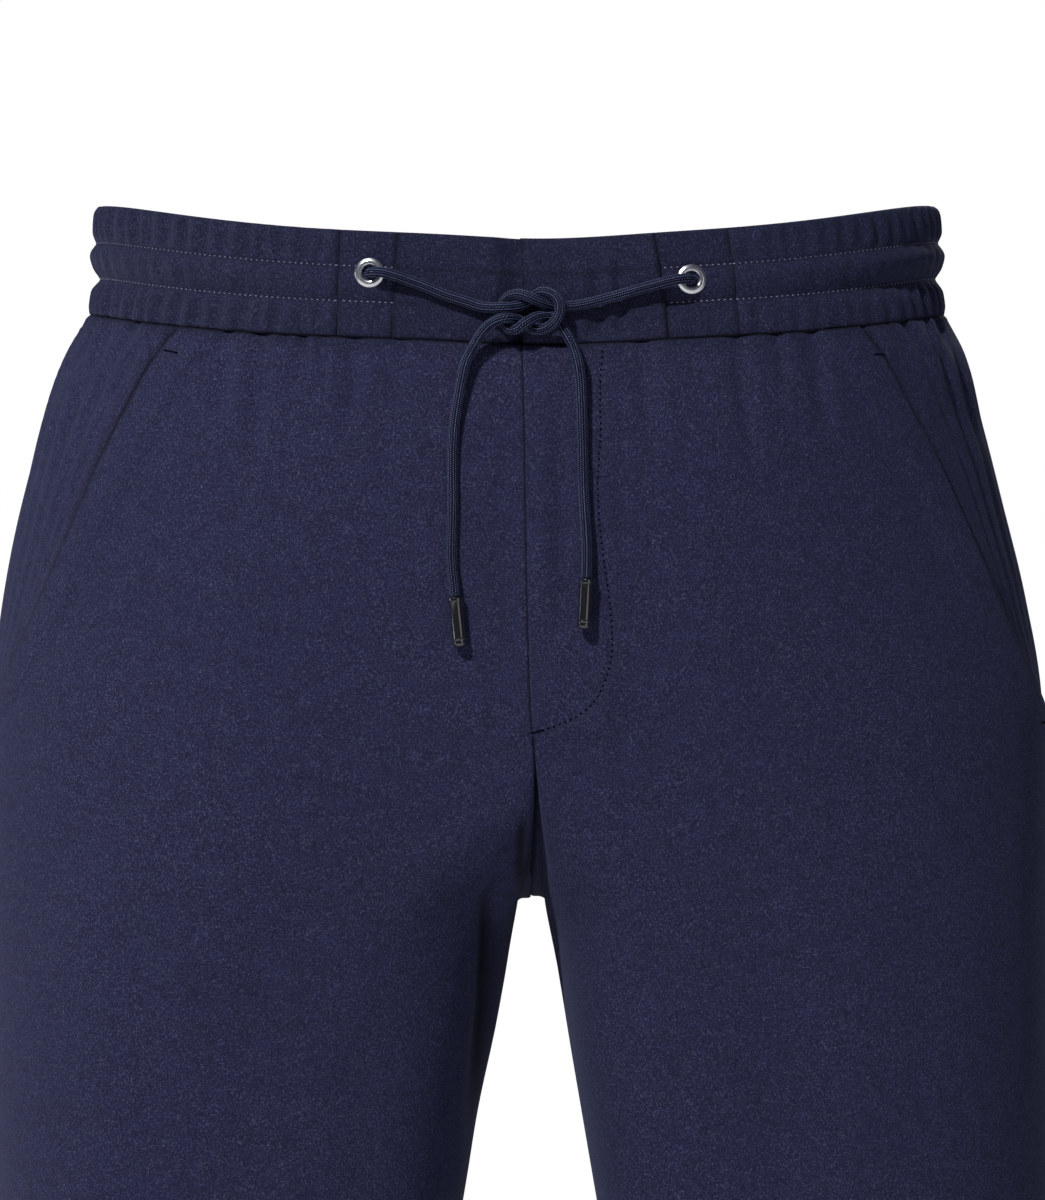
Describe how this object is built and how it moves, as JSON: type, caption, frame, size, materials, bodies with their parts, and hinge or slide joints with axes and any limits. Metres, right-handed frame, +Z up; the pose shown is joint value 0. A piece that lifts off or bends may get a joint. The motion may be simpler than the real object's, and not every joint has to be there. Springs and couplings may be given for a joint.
{
  "type": "slacks",
  "caption": "Tapered slacks with an elastic gathered waistband, a tied round drawstring through metal eyelets, slanted side pockets and a lapped fly, held as worn.",
  "frame": {"origin": "centre of the waist ring, inside the waistband, where a wearer's waist holds the garment up", "axes": "+Z up, the wearer faces -Y, the wearer's left is +X"},
  "size_m": [0.452, 0.263, 1.0625],
  "materials": {
    "leg_cloth": "soft heathered navy suiting with a slight stretch",
    "band_cloth": "the same navy cloth, gathered over elastic",
    "eyelet_metal": "polished silver",
    "cord_braid": "round braided navy cord with paler stitches",
    "cord_end_metal": "gloss black plated metal"
  },
  "bodies": {
    "root": {"front_right": "leg_cloth", "front_left": "leg_cloth", "back_right": "leg_cloth", "back_left": "leg_cloth", "pocket_facing_right": "leg_cloth", "pocket_facing_left": "leg_cloth", "waistband_elastic": "band_cloth", "waistband_patch_right": "band_cloth", "waistband_patch_left": "band_cloth", "waistband_front_right": "band_cloth", "waistband_front_left": "band_cloth", "eyelet_right": "eyelet_metal", "eyelet_left": "eyelet_metal", "drawstring_right": "cord_braid", "drawstring_left": "cord_braid", "cord_end_right": "cord_end_metal", "cord_end_left": "cord_end_metal"}
  },
  "joints": []
}
